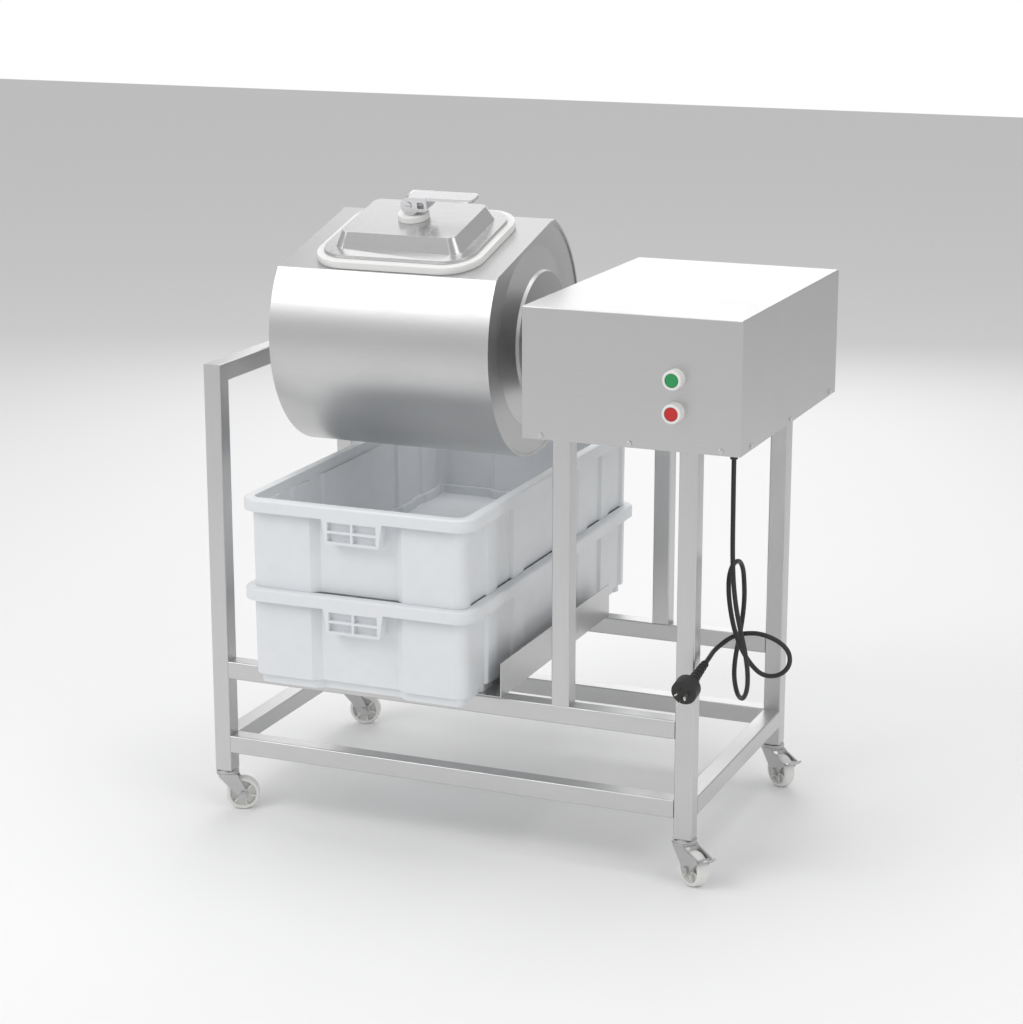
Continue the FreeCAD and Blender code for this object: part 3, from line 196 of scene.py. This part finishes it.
def shader_group(name, inputs, outputs):
    """An empty shader group with its named sockets."""
    group = bpy.data.node_groups.new(name, "ShaderNodeTree")
    for label, kind, default in inputs:
        socket = group.interface.new_socket(label, in_out="INPUT", socket_type=kind)
        socket.default_value = default
    for label, kind in outputs:
        group.interface.new_socket(label, in_out="OUTPUT", socket_type=kind)
    return group, group.nodes.new("NodeGroupInput"), group.nodes.new("NodeGroupOutput")


def brushed_grain():
    """Fine parallel scratches from polishing, with faint cloudy handling marks."""
    group, enter, leave = shader_group(
        "Brushed grain",
        [("Colour", "NodeSocketColor", (0.6, 0.6, 0.6, 1.0)),
         ("Stretch", "NodeSocketVector", (30.0, 1500.0, 1500.0)),
         ("Depth", "NodeSocketFloat", 0.2), ("Roughness", "NodeSocketFloat", 0.3),
         ("Marks", "NodeSocketFloat", 0.12)],
        [("Colour", "NodeSocketColor"), ("Roughness", "NodeSocketFloat"),
         ("Height", "NodeSocketFloat")])
    place = node(group, "ShaderNodeTexCoord").outputs["Object"]
    stretch = node(group, "ShaderNodeVectorMath", operation="MULTIPLY")
    link(group, place, stretch.inputs[0])
    link(group, enter.outputs["Stretch"], stretch.inputs[1])
    grain = noise(group, stretch.outputs[0], 1.0, 3.0)
    cloud = noise(group, place, 9.0, 4.0)
    depth = maths(group, "MULTIPLY", grain, enter.outputs["Depth"])
    marks = maths(group, "MULTIPLY", cloud, enter.outputs["Marks"])
    both = maths(group, "ADD", depth, marks)
    rough = maths(group, "ADD", both, enter.outputs["Roughness"])
    shade = maths(group, "MULTIPLY_ADD", both, -0.35, 1.06)
    hand_out(group, leave, tinted(group, enter.outputs["Colour"], shade), rough, grain)
    return group


def moulded_skin():
    """Slight unevenness and scuffs of moulded plastic or rubber."""
    group, enter, leave = shader_group(
        "Moulded skin",
        [("Colour", "NodeSocketColor", (0.5, 0.5, 0.5, 1.0)), ("Scale", "NodeSocketFloat", 60.0),
         ("Roughness", "NodeSocketFloat", 0.4), ("Scuffs", "NodeSocketFloat", 0.1)],
        [("Colour", "NodeSocketColor"), ("Roughness", "NodeSocketFloat"),
         ("Height", "NodeSocketFloat")])
    place = node(group, "ShaderNodeTexCoord").outputs["Object"]
    grain = noise(group, place, enter.outputs["Scale"], 5.0)
    scuff = maths(group, "MULTIPLY", grain, enter.outputs["Scuffs"])
    rough = maths(group, "ADD", scuff, enter.outputs["Roughness"])
    shade = maths(group, "MULTIPLY_ADD", scuff, -0.5, 1.03)
    hand_out(group, leave, tinted(group, enter.outputs["Colour"], shade), rough, grain)
    return group


GROUPS = {}


def effect(name):
    """One of the shared effects, built on first use."""
    makers = {"grain": brushed_grain, "skin": moulded_skin}
    if name not in GROUPS:
        GROUPS[name] = makers[name]()
    return GROUPS[name]


def finish(name, effect_name, colour, metallic=0.0, bump=0.0, specular=0.5, **values):
    """A material: one shared effect feeding a Principled shader."""
    mat = bpy.data.materials.new(name)
    mat.use_nodes = True
    tree = mat.node_tree
    shader = tree.nodes["Principled BSDF"]
    shader.inputs["Metallic"].default_value = metallic
    shader.inputs["Specular IOR Level"].default_value = specular
    group = node(tree, "ShaderNodeGroup", node_tree=effect(effect_name))
    group.inputs["Colour"].default_value = (*colour, 1.0)
    for key, value in values.items():
        group.inputs[key].default_value = value
    link(tree, group.outputs["Colour"], shader.inputs["Base Color"])
    link(tree, group.outputs["Roughness"], shader.inputs["Roughness"])
    if bump:
        relief = node(tree, "ShaderNodeBump")
        relief.inputs["Strength"].default_value = bump
        relief.inputs["Distance"].default_value = BUMP_DISTANCE
        link(tree, group.outputs["Height"], relief.inputs["Height"])
        link(tree, relief.outputs["Normal"], shader.inputs["Normal"])
    return mat


def steel(name, along, tone, roughness=0.30, depth=None, marks=0.10):
    """Brushed stainless steel with the grain along one axis."""
    stretch = [FINE_GRAIN] * 3
    stretch["XYZ".index(along)] = LONG_GRAIN
    grain = bpy.context.scene.tumbler_steel.grain if depth is None else depth
    return finish(name, "grain", tone, metallic=1.0, bump=0.05, Stretch=stretch,
                  Depth=grain, Roughness=roughness - grain / 2, Marks=marks)


def dress(mat, *names):
    """Gives CAD nodes this material."""
    for name in names:
        mesh = NODES[name].data
        mesh.materials.clear()
        mesh.materials.append(mat)


def soften(width, *names, angle=SHARP_ANGLE):
    """Rounds the sharp edges of CAD nodes with a small bevel."""
    for name in names:
        obj = NODES[name]
        weld = obj.modifiers.new("Merge", "WELD")
        weld.merge_threshold = WELD_DISTANCE
        bevel = obj.modifiers.new("Edges", "BEVEL")
        bevel.width = width
        bevel.segments = 2
        bevel.limit_method = "ANGLE"
        bevel.angle_limit = math.radians(angle)
        bevel.harden_normals = True
        bevel.use_clamp_overlap = True


# ------------------------------------------------------------- operators
class BuildStage(bpy.types.Operator):
    """Makes the camera, the lamps, the floor and the world"""
    bl_idname = "tumbler.build_stage"
    bl_label = "Stage"

    def execute(self, context):
        camera = bpy.data.cameras.new("Camera")
        camera.sensor_width = SENSOR
        camera.lens = LENS
        camera.clip_end = VIEW_DEPTH
        eye = bpy.data.objects.new("Camera", camera)
        context.scene.collection.objects.link(eye)
        eye.location = bench(*CAMERA_PLACE)
        look = bench(*CAMERA_TARGET) - eye.location
        eye.rotation_euler = look.to_track_quat("-Z", "Y").to_euler()
        context.scene.camera = eye
        context.scene.view_settings.view_transform = "Standard"
        self.lamps(context)
        self.floor(context)
        self.world(context)
        return {"FINISHED"}

    def lamps(self, context):
        power = context.scene.tumbler_stage.lamp
        for name, place, size, share in LAMPS:
            light = bpy.data.lights.new(name, "AREA")
            light.size = size
            light.energy = power * share
            lamp = bpy.data.objects.new(name, light)
            lamp.location = place
            aim = Vector(LAMP_TARGET) - Vector(place)
            lamp.rotation_euler = aim.to_track_quat("-Z", "Y").to_euler()
            context.scene.collection.objects.link(lamp)

    def floor(self, context):
        mesh = bpy.data.meshes.new("Floor")
        r = FLOOR_REACH
        mesh.from_pydata([(-r, -r, 0), (r, -r, 0), (r, r, 0), (-r, r, 0)], [], [(0, 1, 2, 3)])
        plane = bpy.data.objects.new("Floor", mesh)
        context.scene.collection.objects.link(plane)
        mat = bpy.data.materials.new("Pale floor")
        mat.use_nodes = True
        tree = mat.node_tree
        shader = tree.nodes["Principled BSDF"]
        shader.inputs["Base Color"].default_value = (*context.scene.tumbler_stage.floor, 1.0)
        shader.inputs["Roughness"].default_value = 0.9
        shader.inputs["Specular IOR Level"].default_value = 0.1
        mesh.materials.append(mat)

    def world(self, context):
        world = bpy.data.worlds.new("Studio")
        world.use_nodes = True
        tree = world.node_tree
        plain = tree.nodes["Background"]
        plain.inputs["Color"].default_value = (1.0, 1.0, 1.0, 1.0)
        plain.inputs["Strength"].default_value = WORLD_STRENGTH
        white = node(tree, "ShaderNodeBackground")
        white.inputs["Color"].default_value = (1.0, 1.0, 1.0, 1.0)
        path = node(tree, "ShaderNodeLightPath")
        mix = node(tree, "ShaderNodeMixShader")
        link(tree, path.outputs["Is Camera Ray"], mix.inputs[0])
        link(tree, plain.outputs[0], mix.inputs[1])
        link(tree, white.outputs[0], mix.inputs[2])
        link(tree, mix.outputs[0], tree.nodes["World Output"].inputs["Surface"])
        context.scene.world = world


class BuildCord(bpy.types.Operator):
    """Makes the hanging mains cord along its route, down to the plug"""
    bl_idname = "tumbler.build_cord"
    bl_label = "Mains cord"

    def execute(self, context):
        settings = context.scene.tumbler_cord
        curve = bpy.data.curves.new("Mains_cord", "CURVE")
        curve.dimensions = "3D"
        curve.bevel_depth = settings.diameter / 2
        curve.bevel_resolution = 5
        curve.use_fill_caps = True
        curve.resolution_u = 8
        spline = curve.splines.new("NURBS")
        spline.points.add(len(CORD_ROUTE) - 1)
        for point, place in zip(spline.points, CORD_ROUTE):
            point.co = (*bench(*place), 1.0)
        spline.order_u = 3
        spline.use_endpoint_u = True
        cord = bpy.data.objects.new("Mains_cord", curve)
        context.scene.collection.objects.link(cord)
        curve.materials.append(finish("Cord sheath", "skin", settings.tone, bump=0.05,
                                      Scale=240.0, Roughness=0.38, Scuffs=0.12))
        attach(cord, "stand")
        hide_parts("mains_cord")
        return {"FINISHED"}


class DressStand(bpy.types.Operator):
    """Gives the stand, its guides and the drive box their brushed steel"""
    bl_idname = "tumbler.dress_stand"
    bl_label = "Stand and drive box"

    def execute(self, context):
        tone = tuple(context.scene.tumbler_steel.tone)
        edge = context.scene.tumbler_steel.edge
        for axis, names in (("Z", STEEL_Z), ("X", STEEL_X), ("Y", STEEL_Y)):
            dress(steel("Tube steel " + axis, axis, tone), *names)
        sheet = steel("Sheet steel", "X", tone, roughness=0.34, marks=0.08)
        dress(sheet, "drive_cover", "drive_subframe", "drive_base")
        dress(steel("Guide steel", "Y", tone), "left_bin_guide", "right_bin_guide")
        soften(edge, "left_bin_guide", "right_bin_guide", "drive_subframe")
        return {"FINISHED"}


class DressDrum(bpy.types.Operator):
    """Gives the drum, the hatch and the shaft line their finishes"""
    bl_idname = "tumbler.dress_drum"
    bl_label = "Drum and hatch"

    def execute(self, context):
        tone = tuple(context.scene.tumbler_steel.tone)
        shell = steel("Drum steel", "X", tone, roughness=0.33)
        dress(shell, "drum_shell", "left_drum_end", "right_drum_end", "hatch_neck",
              "mixing_paddles")
        dress(steel("Lid steel", "X", tone, roughness=0.24, depth=0.10), "hatch_lid")
        bright = steel("Turned steel", "X", (0.66, 0.66, 0.67), roughness=0.2, depth=0.08)
        dress(bright, "left_shaft", "right_shaft", "clamp_stud", "clamp_lever")
        white = finish("White silicone", "skin", (0.80, 0.80, 0.79), bump=0.04, Scale=90.0,
                       Roughness=0.5, Scuffs=0.1)
        dress(white, "hatch_gasket")
        dress(finish("White acetal", "skin", (0.84, 0.84, 0.83), Scale=60.0, Roughness=0.32,
                     Scuffs=0.08), "clamp_collar")
        soften(CLAMP_EDGE, "clamp_lever", "clamp_stud")
        soften(GASKET_EDGE, "hatch_gasket")
        soften(LID_EDGE, "hatch_lid")
        return {"FINISHED"}


class DressDrive(bpy.types.Operator):
    """Gives the bearings and the parts inside the drive box their finishes"""
    bl_idname = "tumbler.dress_drive"
    bl_label = "Bearings and drive"

    def execute(self, context):
        casting = finish("Painted casting", "skin", (0.13, 0.16, 0.18), bump=0.3, Scale=420.0,
                         Roughness=0.45, Scuffs=0.15)
        dress(casting, "left_bearing", "right_bearing", "gear_reducer", "vacuum_pump")
        dress(finish("Motor paint", "skin", (0.03, 0.07, 0.16), bump=0.1, Scale=200.0,
                     Roughness=0.35, Scuffs=0.1), "drive_motor")
        dress(finish("Turned brass", "skin", (0.62, 0.45, 0.18), metallic=1.0, Scale=90.0,
                     Roughness=0.25, Scuffs=0.15), "rotary_union")
        dress(finish("Switchgear grey", "skin", (0.10, 0.10, 0.11), Scale=80.0, Roughness=0.5,
                     Scuffs=0.1), "contactor")
        black = finish("Black rubber", "skin", (0.02, 0.02, 0.02), bump=0.08, Scale=180.0,
                       Roughness=0.45, Scuffs=0.15)
        dress(black, "vacuum_hose", "cord_gland", "plug_body")
        dress(steel("Plated pins", "Z", (0.70, 0.68, 0.64), roughness=0.2, depth=0.05),
              "plug_blades")
        soften(CASTING_EDGE, "left_bearing", "right_bearing", "gear_reducer")
        return {"FINISHED"}


class DressControls(bpy.types.Operator):
    """Gives the two push buttons and the cover's screws their finishes"""
    bl_idname = "tumbler.dress_controls"
    bl_label = "Buttons and screws"

    def execute(self, context):
        plastic = context.scene.tumbler_plastic
        white = finish("Guard white", "skin", (0.80, 0.80, 0.78), Scale=70.0, Roughness=0.3,
                       Scuffs=0.08)
        dress(white, "start_button_body", "stop_button_body")
        dress(finish("Start green", "skin", tuple(plastic.start), Scale=70.0, Roughness=0.25,
                     Scuffs=0.08), "start_button_cap")
        dress(finish("Stop red", "skin", tuple(plastic.stop), Scale=70.0, Roughness=0.25,
                     Scuffs=0.08), "stop_button_cap")
        dress(steel("Screw steel", "Y", (0.62, 0.62, 0.62), roughness=0.25, depth=0.05),
              "cover_screws")
        return {"FINISHED"}


class DressTotes(bpy.types.Operator):
    """Gives the two totes their moulded plastic"""
    bl_idname = "tumbler.dress_totes"
    bl_label = "Totes"

    def execute(self, context):
        tone = tuple(context.scene.tumbler_plastic.tote)
        plastic = finish("Tote plastic", "skin", tone, bump=0.06, Scale=45.0, Roughness=0.36,
                         Scuffs=0.14)
        dress(plastic, "lower_bin", "upper_bin")
        soften(TOTE_EDGE, "lower_bin", "upper_bin", angle=TOTE_SHARP_ANGLE)
        return {"FINISHED"}


class DressCasters(bpy.types.Operator):
    """Gives the casters their zinc plate and nylon"""
    bl_idname = "tumbler.dress_casters"
    bl_label = "Casters"

    def execute(self, context):
        zinc = steel("Zinc plate", "Z", (0.56, 0.56, 0.56), roughness=0.28, depth=0.08,
                     marks=0.2)
        nylon = finish("White nylon", "skin", (0.78, 0.78, 0.76), bump=0.05, Scale=120.0,
                       Roughness=0.42, Scuffs=0.16)
        dress(zinc, "caster_mounts")
        for corner in CORNERS:
            dress(zinc, corner + "_caster_fork")
            dress(nylon, corner + "_caster_wheel")
            soften(CASTER_EDGE, corner + "_caster_fork", corner + "_caster_wheel")
            if corner + "_brake_pedal" in NODES:
                dress(zinc, corner + "_brake_pedal")
                soften(CASTER_EDGE, corner + "_brake_pedal")
        return {"FINISHED"}


class TumblerPanel(bpy.types.Panel):
    """The tumbler's settings and build steps"""
    bl_idname = "VIEW3D_PT_tumbler"
    bl_label = "Tumbler"
    bl_space_type = "VIEW_3D"
    bl_region_type = "UI"
    bl_category = "Tumbler"

    def draw(self, context):
        layout = self.layout
        for name in ("tumbler_steel", "tumbler_plastic", "tumbler_cord", "tumbler_stage"):
            group = getattr(context.scene, name)
            for field in group.bl_rna.properties.keys():
                if field not in ("rna_type", "name"):
                    layout.prop(group, field)
        for step in STEPS:
            layout.operator(step.bl_idname)


GROUP_CLASSES = {"tumbler_steel": TumblerSteel, "tumbler_plastic": TumblerPlastic,
                 "tumbler_cord": TumblerCord, "tumbler_stage": TumblerStage}
STEPS = (BuildStage, BuildCord, DressStand, DressDrum, DressDrive, DressControls, DressTotes,
         DressCasters)


def register():
    for name, kind in GROUP_CLASSES.items():
        bpy.utils.register_class(kind)
        setattr(bpy.types.Scene, name, bpy.props.PointerProperty(type=kind))
    for kind in (*STEPS, TumblerPanel):
        bpy.utils.register_class(kind)


def unregister():
    for kind in (*STEPS, TumblerPanel):
        bpy.utils.unregister_class(kind)
    for name, kind in GROUP_CLASSES.items():
        delattr(bpy.types.Scene, name)
        bpy.utils.unregister_class(kind)


def main():
    register()
    for step in STEPS:
        group, call = step.bl_idname.split(".")
        getattr(getattr(bpy.ops, group), call)()


if __name__ == "__main__":
    main()
